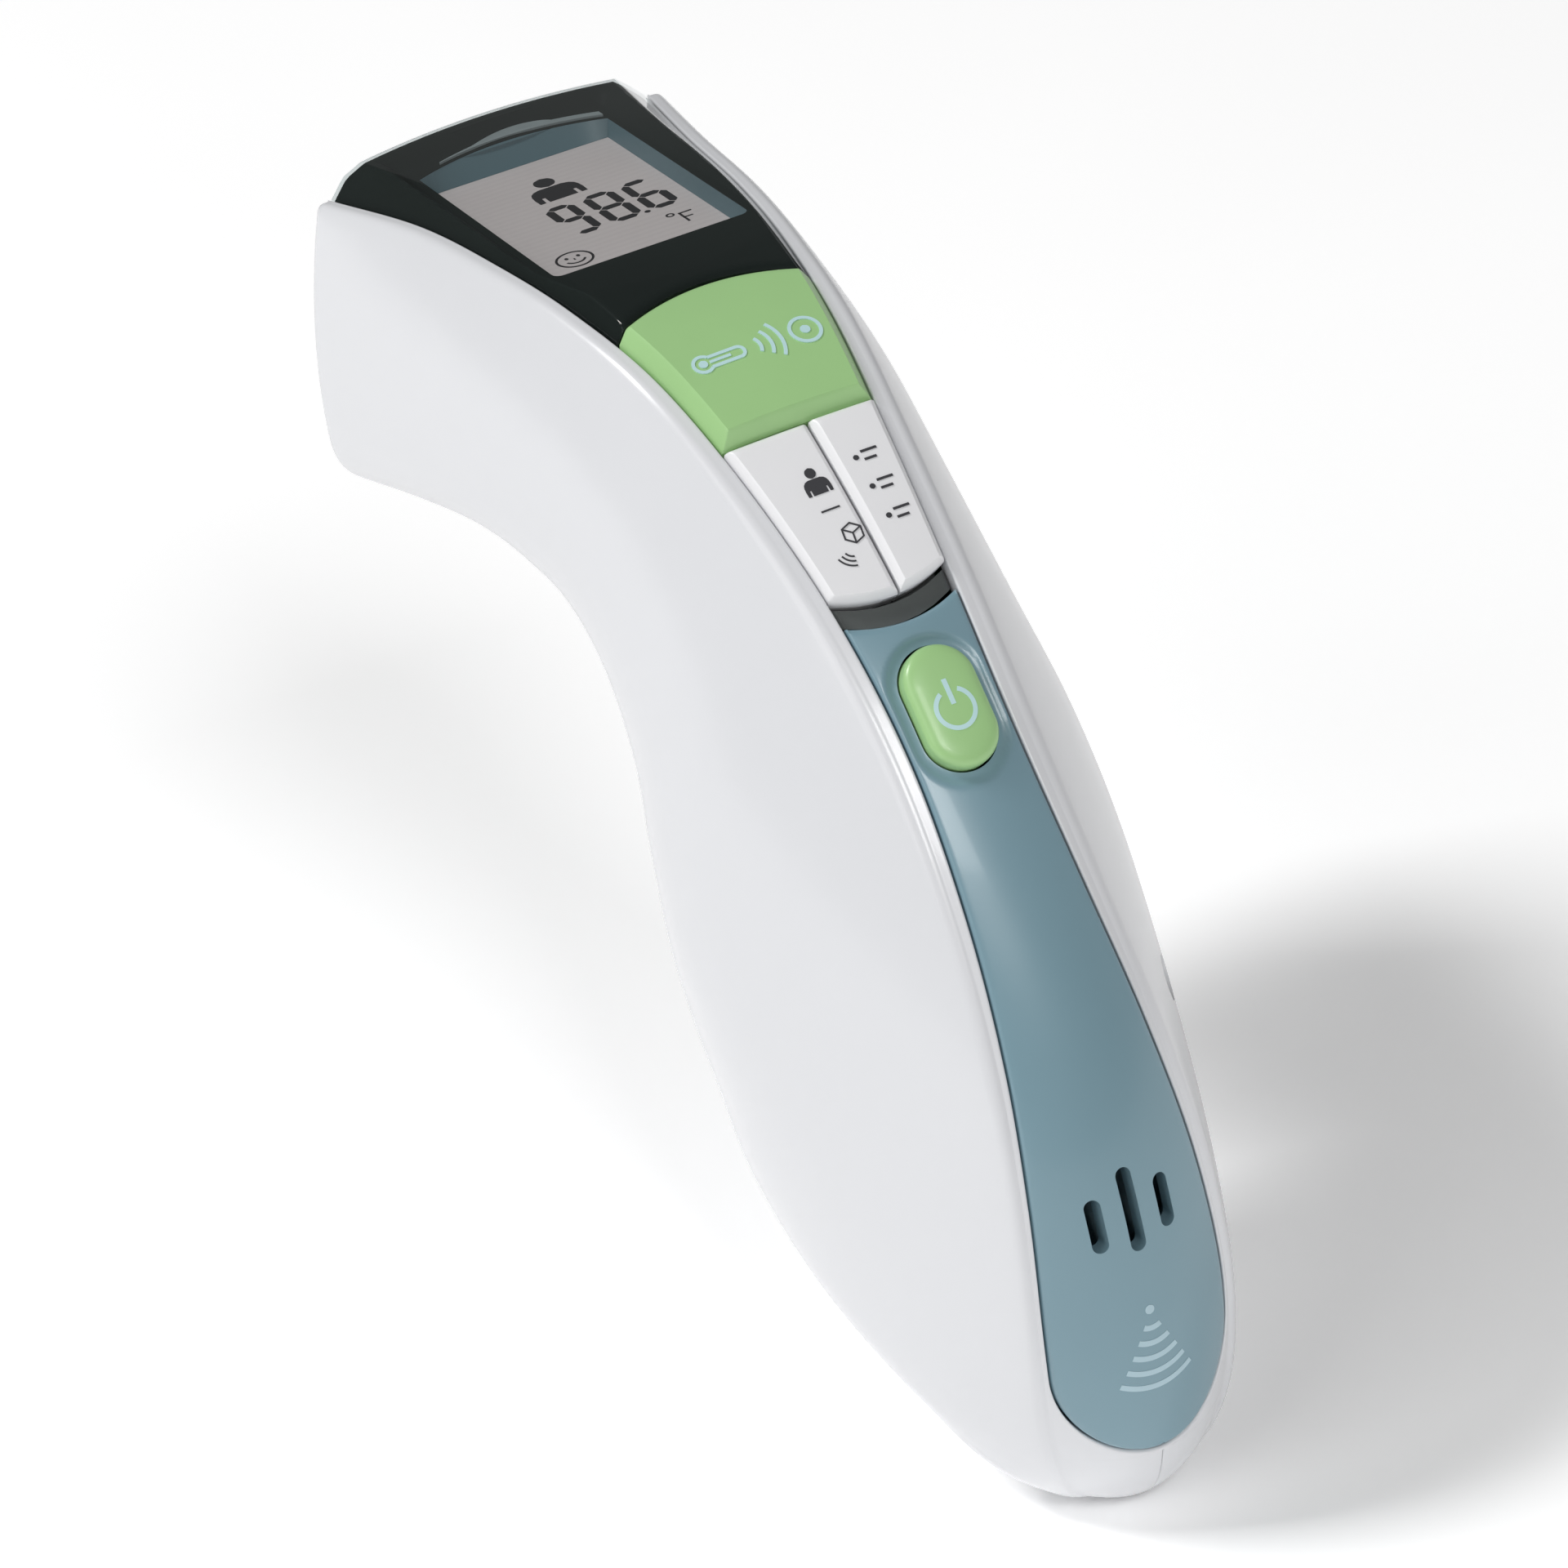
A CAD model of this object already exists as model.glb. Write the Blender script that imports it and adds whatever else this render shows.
"""Handheld infrared thermometer, in metres once built.

X runs across the body and Z is up. The front surface is a strip through stations 0 to 15: it
starts at the head (station 0) facing +Z, runs towards -Y and curves down to the foot, where it
faces -Y. The shells are halves on either side of x = 0. Shapes are worked out in millimetres.
"""
import math
from typing import NamedTuple

import bmesh
import bpy
import numpy as np
from mathutils import Matrix, Vector


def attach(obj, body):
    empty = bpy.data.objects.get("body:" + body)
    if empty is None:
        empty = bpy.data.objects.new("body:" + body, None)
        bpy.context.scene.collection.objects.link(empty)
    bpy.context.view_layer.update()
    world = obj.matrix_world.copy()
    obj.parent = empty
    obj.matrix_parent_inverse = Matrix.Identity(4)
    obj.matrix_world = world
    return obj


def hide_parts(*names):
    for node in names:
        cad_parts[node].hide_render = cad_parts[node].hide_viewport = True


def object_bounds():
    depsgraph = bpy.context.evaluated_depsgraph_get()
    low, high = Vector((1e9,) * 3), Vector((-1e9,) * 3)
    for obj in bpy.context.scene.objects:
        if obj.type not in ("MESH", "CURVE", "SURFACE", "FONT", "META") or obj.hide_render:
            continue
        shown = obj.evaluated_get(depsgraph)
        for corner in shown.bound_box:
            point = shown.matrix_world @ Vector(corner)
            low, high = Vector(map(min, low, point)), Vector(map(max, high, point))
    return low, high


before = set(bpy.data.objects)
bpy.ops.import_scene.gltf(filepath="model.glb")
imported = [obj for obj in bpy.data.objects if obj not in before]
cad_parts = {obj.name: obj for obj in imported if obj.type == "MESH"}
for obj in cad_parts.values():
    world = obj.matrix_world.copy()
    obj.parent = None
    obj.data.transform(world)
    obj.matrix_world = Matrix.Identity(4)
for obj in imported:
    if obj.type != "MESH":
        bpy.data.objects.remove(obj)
cad_lo, cad_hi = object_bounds()
scene = bpy.context.scene
MM = 0.001

# ---------------------------------------------------------------------------
# body sections (mm)
# ---------------------------------------------------------------------------
# front y, front z, tilt (degrees), depth front to back, half width at the front rim,
# half width of the front opening, greatest half width, where it lies (fraction of depth),
# squareness exponent of the back, crown of the front
STATIONS = np.array([
    (-2, 16.4, 0, 31.5, 18.5, 17.1, 22, 0.7, 3.4, 0.5),
    (-17.5, 17.7, 0, 29.5, 15.5, 14.1, 20.9, 0.7, 3.6, 0.5),
    (-31.5, 17.8, 3, 28.3, 13.9, 12.5, 19.7, 0.68, 3.6, 0.5),
    (-43.5, 16.7, 12, 29.4, 12.3, 10.9, 18.7, 0.66, 3.2, 0.4),
    (-56, 13.5, 24, 31, 10.6, 9, 17.9, 0.64, 3, 0.4),
    (-68, 6.7, 38, 33.8, 8.9, 7.2, 17.7, 0.63, 2.7, 0.5),
    (-79.5, -2.3, 50, 38.8, 7.6, 5.8, 18.4, 0.62, 2.5, 0.7),
    (-89, -12.9, 61, 43, 7, 5.2, 19.9, 0.62, 2.4, 0.8),
    (-96.8, -24.7, 70, 47.7, 7.4, 5.8, 20.7, 0.62, 2.3, 1.2),
    (-102.7, -36.5, 79, 51.6, 8.4, 7, 20.4, 0.62, 2.3, 2),
    (-106.2, -48.5, 87, 53, 9.6, 8.3, 19.8, 0.62, 2.3, 2.8),
    (-107.3, -60.5, 91, 50, 10.3, 9.1, 19.1, 0.61, 2.3, 3.5),
    (-106.6, -70.5, 98, 40, 10.1, 9, 17.9, 0.6, 2.2, 3.9),
    (-105.4, -77.8, 107, 27.2, 8.8, 8.8, 15.2, 0.58, 2.1, 3.5),
    (-103.5, -82.6, 118, 12.8, 6.2, 8.8, 11, 0.55, 2, 2),
    (-101.6, -84.8, 128, 0, 0, 8.8, 0, 0.5, 2, 0),
], float)

# positions along the strip, in stations
LENS_END = 3.52
MEASURE_END = 4.71
WHITE_KEYS_END = 5.89
PANEL_START = 6.04
POWER_POS = 6.75
SLOTS_POS = 10.22
OPENING_ROUND = 11.5   # the opening starts to round off here
OPENING_END = 12.6
DOOR_START, DOOR_END = 7.6, 12.2

DOOR_HALF_WIDTH = 12.0
DOOR_GAP = 0.25
WALL = 1.8
GAP = 0.2              # round the keys and the panel


class Section(NamedTuple):
    """One row of STATIONS, or one interpolated between them."""
    y: float
    z: float
    tilt: float
    depth: float
    rim: float
    open: float
    wide: float
    wide_at: float
    square: float
    bulge: float

    @property
    def belly(self):
        """depth of the widest line"""
        return self.wide_at * self.depth

    def side_x(self, fraction):
        """half width part of the way from the rim to the widest line"""
        return self.rim + (self.wide - self.rim) * (1 - max(1 - fraction, 0) ** 1.9)

    def back_angle(self, x):
        return math.acos(min(x / self.wide, 1) ** (self.square / 2))

    def back_curve(self, angle):
        """x and depth on the back, angle 0 at the widest line"""
        power = 2 / self.square
        back = (1 - self.wide_at) * self.depth
        return self.wide * math.cos(angle) ** power, self.belly + back * math.sin(angle) ** power

    def back_depth(self, x):
        rest = max(1 - min(abs(x) / self.wide, 1) ** self.square, 0)
        return self.belly + (1 - self.wide_at) * self.depth * rest ** (1 / self.square)


def section(pos):
    """Catmull-Rom section at a position along the strip."""
    last = len(STATIONS) - 1
    i = min(max(int(math.floor(pos)), 0), last - 1)
    f = pos - i
    p1, p2 = STATIONS[i], STATIONS[i + 1]
    p0 = STATIONS[i - 1] if i > 0 else 2 * p1 - p2
    p3 = STATIONS[i + 2] if i + 2 <= last else 2 * p2 - p1
    return Section(*(0.5 * (2 * p1 + (p2 - p0) * f + (2 * p0 - 5 * p1 + 4 * p2 - p3) * f * f
                            + (3 * p1 - p0 - 3 * p2 + p3) * f * f * f)))


def opening(pos):
    """half width of the front opening, rounded off at its low end"""
    base = section(pos).open
    if pos < OPENING_ROUND:
        return base
    if pos >= OPENING_END:
        return 0.0
    fraction = (pos - OPENING_ROUND) / (OPENING_END - OPENING_ROUND)
    return base * math.sqrt(max(1 - fraction ** 2, 0))


def place(sec, x, depth):
    """point at x across the section and depth below its front"""
    tilt = math.radians(sec.tilt)
    return np.array([x, sec.y + math.sin(tilt) * depth, sec.z - math.cos(tilt) * depth])


def rise(sec, x):
    """height of the crowned front over the rim line"""
    return max(sec.bulge, 0) * max(1 - (x / max(sec.rim - 0.8, 0.3)) ** 2, 0)


def crowned(sec, x, top, crown):
    """height of a crowned key or lens over the strip"""
    return top + crown * (1 - (x / sec.open) ** 2)


def bowed(pos, x, bow=1.2, reach=0.3, station_length=12):
    """section pushed along the strip in the middle, fading out below the panel's upper end"""
    fade = max(1 - (pos - PANEL_START) / reach, 0)
    return section(pos + bow * fade * max(1 - (x / section(pos).open) ** 2, 0) / station_length)


# length along the strip against position
ARC_POS = np.linspace(0, 15, 3001)
_front = np.array([section(pos)[:2] for pos in ARC_POS])
ARC_LENGTH = np.concatenate([[0], np.cumsum(np.hypot(*np.diff(_front, axis=0).T))])


def arc_of(pos):
    return float(np.interp(pos, ARC_POS, ARC_LENGTH))


def pos_of(arc):
    """position for a length along the strip, straight on above station 0"""
    if arc < 0:
        return arc * float(ARC_POS[20] / ARC_LENGTH[20])
    return float(np.interp(arc, ARC_LENGTH, ARC_POS))


def strip_frame(pos):
    """origin, up-the-strip and outward unit vectors"""
    above, below, sec = section(max(pos - 0.05, 0)), section(pos + 0.05), section(pos)
    angle = math.atan2(above.z - below.z, above.y - below.y)
    return (np.array([0, sec.y, sec.z]), np.array([0, math.cos(angle), math.sin(angle)]),
            np.array([0, -math.sin(angle), math.cos(angle)]))


def on_strip(pos, x, y, height):
    """point in the flat frame of the strip at pos, y up the strip"""
    origin, up, out = strip_frame(pos)
    return origin + np.array([1, 0, 0]) * x + up * y + out * height


def flat(x, y, z):
    return np.array([x, y, z])


# ---------------------------------------------------------------------------
# mesh helpers: shapes are passed about as (vertices in mm, faces)
# ---------------------------------------------------------------------------
def smooth(mesh, angle):
    mesh.shade_smooth()
    if angle < 180:
        mesh.set_sharp_from_angle(angle=math.radians(angle))


def make_mesh(name, shape, angle=35, merge=1e-7):
    verts, faces = shape
    mesh = bpy.data.meshes.new(name)
    mesh.from_pydata([tuple(float(c) * MM for c in v) for v in verts], [], faces)
    bm = bmesh.new()
    bm.from_mesh(mesh)
    bmesh.ops.remove_doubles(bm, verts=bm.verts, dist=merge)
    bmesh.ops.dissolve_degenerate(bm, dist=merge, edges=bm.edges)
    bmesh.ops.recalc_face_normals(bm, faces=bm.faces)
    bm.to_mesh(mesh)
    bm.free()
    mesh.validate()
    smooth(mesh, angle)
    return mesh


def add_object(name, mesh, material=None):
    obj = bpy.data.objects.new(name, mesh)
    scene.collection.objects.link(obj)
    if material:
        mesh.materials.append(MATERIALS[material])
    return obj


def register(obj, body, replaces=None):
    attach(obj, body)
    if replaces:
        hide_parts(replaces)


def piece(name, shape, material, body, angle=35, replaces=None):
    obj = add_object(name, make_mesh(name, shape, angle), material)
    register(obj, body, replaces)


def join(shapes):
    verts, faces = [], []
    for part_verts, part_faces in shapes:
        first = len(verts)
        verts += part_verts
        faces += [[i + first for i in face] for face in part_faces]
    return verts, faces


def grid_faces(rows, width, first=0, flip=False):
    faces = []
    for i in range(rows - 1):
        for j in range(width - 1):
            a = first + i * width + j
            quad = [a, a + 1, a + width + 1, a + width]
            faces.append(quad[::-1] if flip else quad)
    return faces


def sheet_solid(top, under, sides=True):
    """solid between two point grids; without sides their long edges have to coincide"""
    rows, width = len(top), len(top[0])
    low = rows * width
    verts = [p for row in top + under for p in row]
    faces = grid_faces(rows, width) + grid_faces(rows, width, low, True)
    if sides:
        for a in range(0, low - width, width):
            b, c, d = a + width, a + width - 1, a + 2 * width - 1
            faces += [[a, b, low + b, low + a], [c, low + c, low + d, d]]
    for j in range(width - 1):
        end = low - width + j
        faces += [[j, low + j, low + j + 1, j + 1], [end, end + 1, low + end + 1, low + end]]
    return verts, faces


def cut(obj, cutters, angle):
    """subtracts the cutters for good and removes them"""
    for cutter in cutters:
        modifier = obj.modifiers.new("cut", "BOOLEAN")
        modifier.operation = "DIFFERENCE"
        modifier.solver = "EXACT"
        modifier.object = cutter
    depsgraph = bpy.context.evaluated_depsgraph_get()
    mesh = bpy.data.meshes.new_from_object(obj.evaluated_get(depsgraph))
    obj.modifiers.clear()
    obj.data = mesh
    for cutter in cutters:
        bpy.data.objects.remove(cutter)
    smooth(mesh, angle)


def cutter_object(name, shape):
    return add_object(name, make_mesh(name, shape, 180))


def prism(name, outline, at, low, high):
    """cutter over an (x, y) outline; at(x, y, height) places its points"""
    n = len(outline)
    verts = [at(x, y, height) for height in (low, high) for x, y in outline]
    faces = [list(range(n))[::-1], [n + i for i in range(n)]]
    faces += [[i, (i + 1) % n, n + (i + 1) % n, n + i] for i in range(n)]
    return cutter_object(name, (verts, faces))


def obround(length, width, steps, grow=0.0):
    """outline of an obround, long axis y"""
    radius, centre = width / 2 + grow, (length - width) / 2
    return [(radius * math.cos(a), sign * centre + radius * math.sin(a))
            for sign, start in ((1, 0), (-1, math.pi))
            for a in np.linspace(start, start + math.pi, steps)]


def obround_distance(x, y, length, width):
    """distance outside (+) or inside (-) of an obround outline"""
    return math.hypot(x, max(abs(y) - (length - width) / 2, 0)) - width / 2


def tube(x0, x1, y, z, radius, steps, bore=None):
    """cylinder along X, or a ring when bore is set"""
    n = steps
    verts = [np.array([x, y + r * math.cos(a), z + r * math.sin(a)])
             for r in (radius, bore) if r for x in (x0, x1)
             for a in (2 * math.pi * k / n for k in range(n))]
    faces = [[k, (k + 1) % n, n + (k + 1) % n, n + k] for k in range(n)]
    if bore is None:
        faces += [list(range(n))[::-1], [n + k for k in range(n)]]
    else:
        for k in range(n):
            q = (k + 1) % n
            faces += [[2 * n + q, 2 * n + k, 3 * n + k, 3 * n + q],
                      [q, k, 2 * n + k, 2 * n + q],
                      [n + k, n + q, 3 * n + q, 3 * n + k]]
    return verts, faces


# ---------------------------------------------------------------------------
# procedural materials
# ---------------------------------------------------------------------------
def node(tree, kind, inputs=None, **settings):
    """new shader node; an input is either a socket to link or a value"""
    made = tree.nodes.new("ShaderNode" + kind)
    for key, value in settings.items():
        setattr(made, key, value)
    for key, value in (inputs or {}).items():
        if isinstance(value, bpy.types.NodeSocket):
            tree.links.new(value, made.inputs[key])
        else:
            made.inputs[key].default_value = value
    return made


def new_material(name, build, **look):
    """material whose surface is the shader node build(tree, **look) returns"""
    material = bpy.data.materials.new(name)
    material.use_nodes = True
    tree = material.node_tree
    tree.nodes.clear()
    node(tree, "OutputMaterial", {"Surface": build(tree, **look).outputs[0]})
    return material


def coordinates(tree, scale=(1, 1, 1)):
    source = node(tree, "TexCoord").outputs["Object"]
    return node(tree, "Mapping", {"Scale": scale, "Vector": source}).outputs["Vector"]


def noise(tree, vector, scale, detail, roughness=0.55):
    return node(tree, "TexNoise", {"Scale": scale, "Detail": detail, "Roughness": roughness,
                                   "Vector": vector}).outputs["Fac"]


def map_range(tree, value, source, target):
    return node(tree, "MapRange", {
        "From Min": source[0], "From Max": source[1],
        "To Min": target[0], "To Max": target[1], "Value": value}).outputs["Result"]


def color_ramp(tree, factor, dark, light):
    made = node(tree, "ValToRGB", {"Fac": factor})
    first, second = made.color_ramp.elements
    first.position, second.position = 0.3, 0.7
    first.color, second.color = (*dark, 1), (*light, 1)
    return made.outputs["Color"]


def linear(rgb):
    """scene-linear values of an 8-bit colour"""
    return tuple((v / 255) / 12.92 if v <= 10 else (((v / 255) + 0.055) / 1.055) ** 2.4
                 for v in rgb)


def mottled(tree, factor, rgb, low, high):
    """the colour scaled between low and high by the factor"""
    base = np.array(linear(rgb))
    return color_ramp(tree, factor, base * low, np.minimum(base * high, 1))


def bump(tree, height, strength, distance):
    return node(tree, "Bump", {"Strength": strength, "Distance": distance,
                               "Height": height}).outputs["Normal"]


def color_mix(tree, factor, first, second, **settings):
    return node(tree, "Mix", {"Factor": factor, "A": first, "B": second},
                data_type="RGBA", **settings).outputs["Result"]


def plastic(tree, rgb, rough, vary, relief, grain, coat=0.0, specular=0.5, pattern=None):
    """moulded plastic; pattern(tree, vector, color) may rework the colour"""
    vector = coordinates(tree)
    patches = noise(tree, vector, scale=60, detail=4)
    grains = noise(tree, vector, scale=grain, detail=2)
    color = mottled(tree, patches, rgb, 1 - vary, 1 + vary)
    if pattern:
        color = pattern(tree, vector, color)
    smudges = noise(tree, vector, scale=150, detail=2, roughness=0.5)
    return node(tree, "BsdfPrincipled", {
        "Base Color": color,
        "Roughness": map_range(tree, smudges, (0.25, 0.75), (rough * 0.95, rough * 1.05)),
        "Specular IOR Level": specular,
        "Coat Weight": coat,
        "Coat Roughness": 0.08,
        "Normal": bump(tree, grains, strength=relief, distance=0.0002)})


def metal(tree, rgb, rough, stretch):
    """metal with a grain drawn fine along the stretched axis"""
    grain = noise(tree, coordinates(tree, stretch), scale=900, detail=4, roughness=0.6)
    return node(tree, "BsdfPrincipled", {
        "Base Color": mottled(tree, grain, rgb, 0.88, 1.08),
        "Metallic": 1.0,
        "Roughness": map_range(tree, grain, (0.2, 0.8), (rough * 0.8, rough * 1.3)),
        "Normal": bump(tree, grain, strength=0.06, distance=0.0001)})


def board_tracks(tree, vector, color):
    """solder mask with faint copper tracks"""
    bricks = node(tree, "TexBrick", {
        "Scale": 420, "Mortar Size": 0.012,
        "Color1": (*linear((26, 92, 58)), 1),
        "Color2": (*linear((29, 105, 66)), 1),
        "Mortar": (*linear((56, 168, 110)), 1),
        "Vector": vector})
    return color_mix(tree, 0.7, color, bricks.outputs["Color"])


def lcd_lines(tree, vector, color):
    """faint darker bands across the display"""
    wave = node(tree, "TexWave", {"Scale": 330, "Distortion": 0.4, "Vector": vector},
                bands_direction="Y")
    strength = map_range(tree, wave.outputs["Fac"], (0, 1), (0.0, 0.10))
    return color_mix(tree, strength, color, (0.55, 0.52, 0.54, 1), blend_type="MULTIPLY")


def wire_colors(tree, vector, color):
    """the given colour on the +X side, black on the other"""
    split = node(tree, "SeparateXYZ", {0: vector})
    side = node(tree, "Math", {0: split.outputs["X"], 1: 0.0}, operation="GREATER_THAN")
    return color_mix(tree, side.outputs[0], (*linear((32, 32, 34)), 1), color)


def smoked(tree, tint):
    """straight-through tint with a fresnel gloss on outward faces"""
    vector = coordinates(tree)
    clouds = noise(tree, vector, scale=90, detail=3)
    clear = node(tree, "BsdfTransparent", {
        "Color": color_ramp(tree, clouds, [c * 0.985 for c in tint], tint)})
    smears = noise(tree, vector, scale=300, detail=4)
    gloss = node(tree, "BsdfGlossy", {
        "Color": (1, 1, 1, 1),
        "Roughness": map_range(tree, smears, (0.3, 0.7), (0.035, 0.06))})
    fresnel = node(tree, "Fresnel", {"IOR": 1.36})
    geometry = node(tree, "NewGeometry")
    outward = node(tree, "Math", {0: 1.0, 1: geometry.outputs["Backfacing"]},
                   operation="SUBTRACT")
    factor = node(tree, "Math", {0: fresnel.outputs["Fac"], 1: outward.outputs[0]},
                  operation="MULTIPLY")
    return node(tree, "MixShader", {"Fac": factor.outputs[0], 1: clear.outputs[0],
                                    2: gloss.outputs[0]})


def matte_floor(tree):
    """over-white diffuse, so that the floor washes out"""
    clouds = noise(tree, coordinates(tree), scale=6, detail=2)
    return node(tree, "BsdfDiffuse", {"Color": color_ramp(tree, clouds, [1.27] * 3, [1.30] * 3)})


# name: 8-bit colour, roughness, colour variation, bump strength, grain scale,
# then coat weight and specular level where they differ from 0 and 0.5
PLASTICS = {
    "white_shell": ((222, 223, 226), 0.26, 0.004, 0.006, 1600, 0.2),
    "white_key": ((238, 238, 240), 0.3, 0.012, 0.02, 2600, 0.15),
    "teal_panel": ((124, 155, 167), 0.3, 0.012, 0.015, 2600, 0.2),
    "teal_deep": ((84, 108, 118), 0.6, 0.03, 0.03, 2200),
    "teal_frame": ((94, 117, 125), 0.42, 0.03, 0.03, 2200),
    "green_key": ((162, 205, 140), 0.34, 0.03, 0.02, 2600, 0.1),
    "dark_carrier": ((86, 90, 89), 0.3, 0.06, 0.04, 1800, 0.15),
    "black_mask": ((31, 38, 36), 0.45, 0.08, 0.02, 1800, 0.0, 0.05),
    "window_rim": ((150, 158, 160), 0.4, 0.06, 0.03, 2200),
    "lcd_ink": ((40, 37, 40), 0.5, 0.06, 0.02, 3000),
    "print_light": ((190, 224, 226), 0.5, 0.03, 0.03, 3000),
    "print_teal": ((176, 202, 212), 0.5, 0.03, 0.03, 3000),
    "print_dark": ((58, 58, 62), 0.5, 0.05, 0.03, 3000),
    "reflector_film": ((224, 224, 218), 0.5, 0.02, 0.05, 900),
    "stem_plastic": ((80, 82, 86), 0.45, 0.05, 0.05, 1500),
    "chip_epoxy": ((30, 31, 33), 0.55, 0.06, 0.1, 1500, 0.0, 0.4),
    "grey_plastic": ((92, 96, 100), 0.4, 0.05, 0.05, 1500),
    "bezel_teal": ((128, 156, 166), 0.3, 0.03, 0.03, 2200, 0.15),
    "ribbon_film": ((190, 132, 58), 0.35, 0.06, 0.03, 700, 0.2),
    "cell_wrap": ((58, 78, 130), 0.32, 0.05, 0.02, 900, 0.3),
    "infrared_window": ((52, 46, 60), 0.12, 0.05, 0.01, 900, 0.5),
}
PLASTIC_COLUMNS = ("rgb", "rough", "vary", "relief", "grain", "coat", "specular")

# name: 8-bit colour, roughness, stretch of the grain along x, y and z
METALS = {
    "bright_steel": ((196, 198, 202), 0.28, (1, 1, 30)),
    "nickel_plate": ((206, 204, 198), 0.22, (30, 1, 1)),
    "component_metal": ((190, 168, 112), 0.35, (1, 1, 30)),
    "polished_cone": ((226, 214, 178), 0.14, (1, 30, 1)),
}

MATERIALS = {
    "smoked_lens": new_material("smoked_lens", smoked, tint=(0.80, 0.83, 0.83)),
    "lcd_cell": new_material(
        "lcd_cell", plastic, rgb=(226, 213, 212), rough=0.32, vary=0.03, relief=0.01,
        grain=900, coat=0.1, pattern=lcd_lines),
    "circuit_board": new_material(
        "circuit_board", plastic, rgb=(26, 92, 58), rough=0.35, vary=0.08, relief=0.05,
        grain=1500, coat=0.2, pattern=board_tracks),
    "wire_pair": new_material(
        "wire_pair", plastic, rgb=(176, 44, 38), rough=0.45, vary=0.05, relief=0.04,
        grain=900, pattern=wire_colors),
    "floor_white": new_material("floor_white", matte_floor),
}
for _name, _row in PLASTICS.items():
    MATERIALS[_name] = new_material(_name, plastic, **dict(zip(PLASTIC_COLUMNS, _row)))
for _name, (_rgb, _rough, _stretch) in METALS.items():
    MATERIALS[_name] = new_material(_name, metal, rgb=_rgb, rough=_rough, stretch=_stretch)

# ---------------------------------------------------------------------------
# outline of the front opening and of the door
# ---------------------------------------------------------------------------
LIP = 0.25             # radius of the rounded lip round the opening
DOOR_POS_PER_MM = 0.16  # shortens the door by its gap, in stations


def side_normals(tangents):
    """unit normals, a quarter turn anticlockwise from the tangents"""
    tangents = tangents / np.linalg.norm(tangents, axis=1)[:, None]
    return np.column_stack([-tangents[:, 1], tangents[:, 0]])


# samples of the opening's edge: position, (arc length, half width), outward normal
EDGE_POS = np.concatenate([
    np.arange(0, OPENING_ROUND, 0.02),
    OPENING_ROUND
    + (OPENING_END - OPENING_ROUND) * np.sin(np.radians(np.linspace(0, 90, 200)))])
EDGE = np.array([[arc_of(pos), opening(pos)] for pos in EDGE_POS])
_tangents = np.gradient(EDGE, axis=0)
_tangents[-1] = (0, -1)
EDGE_NORMALS = side_normals(_tangents)


def outline_at(base, out):
    """(arc, x) of the edge at position base, moved outwards"""
    arc, x = (np.interp(base, EDGE_POS, column) for column in EDGE.T)
    normal = np.array([np.interp(base, EDGE_POS, column) for column in EDGE_NORMALS.T])
    normal /= np.linalg.norm(normal)
    return arc + normal[0] * out, x + normal[1] * out


# where the outer edge of the lip lies for each sample, kept rising
LIP_POS = np.array([pos_of(outline_at(pos, LIP)[0]) for pos in EDGE_POS])
LIP_POS = np.maximum.accumulate(LIP_POS + np.arange(len(LIP_POS)) * 1e-9)
LIP_END = float(LIP_POS[-1])


def door_half(pos, gap=0.0):
    """half width of the door, or of its hole when gap is 0"""
    centre = (DOOR_START + DOOR_END) / 2
    half = (DOOR_END - DOOR_START) / 2 - gap * DOOR_POS_PER_MM
    if abs(pos - centre) > half + 0.0005:
        return 0.0
    fraction = abs(pos - centre) / half * 0.985
    return (DOOR_HALF_WIDTH - gap) * max(1 - fraction ** 4.5, 0) ** 0.4


# ---------------------------------------------------------------------------
# shells
# ---------------------------------------------------------------------------
# points of a half section on the front, the rim corner, the side and the back
N_FRONT, N_CORNER, N_SIDE, N_BACK = 8, 6, 18, 26

# y, z, reach from x = 0
POSTS = [(-33, -4.6, 17.2), (-58, -17.5, 16.8), (-94, -40, 12.4), (-98.8, -74.2, 11.6)]
BORE_STEP_X = 5        # the bore of the right posts widens here


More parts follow.
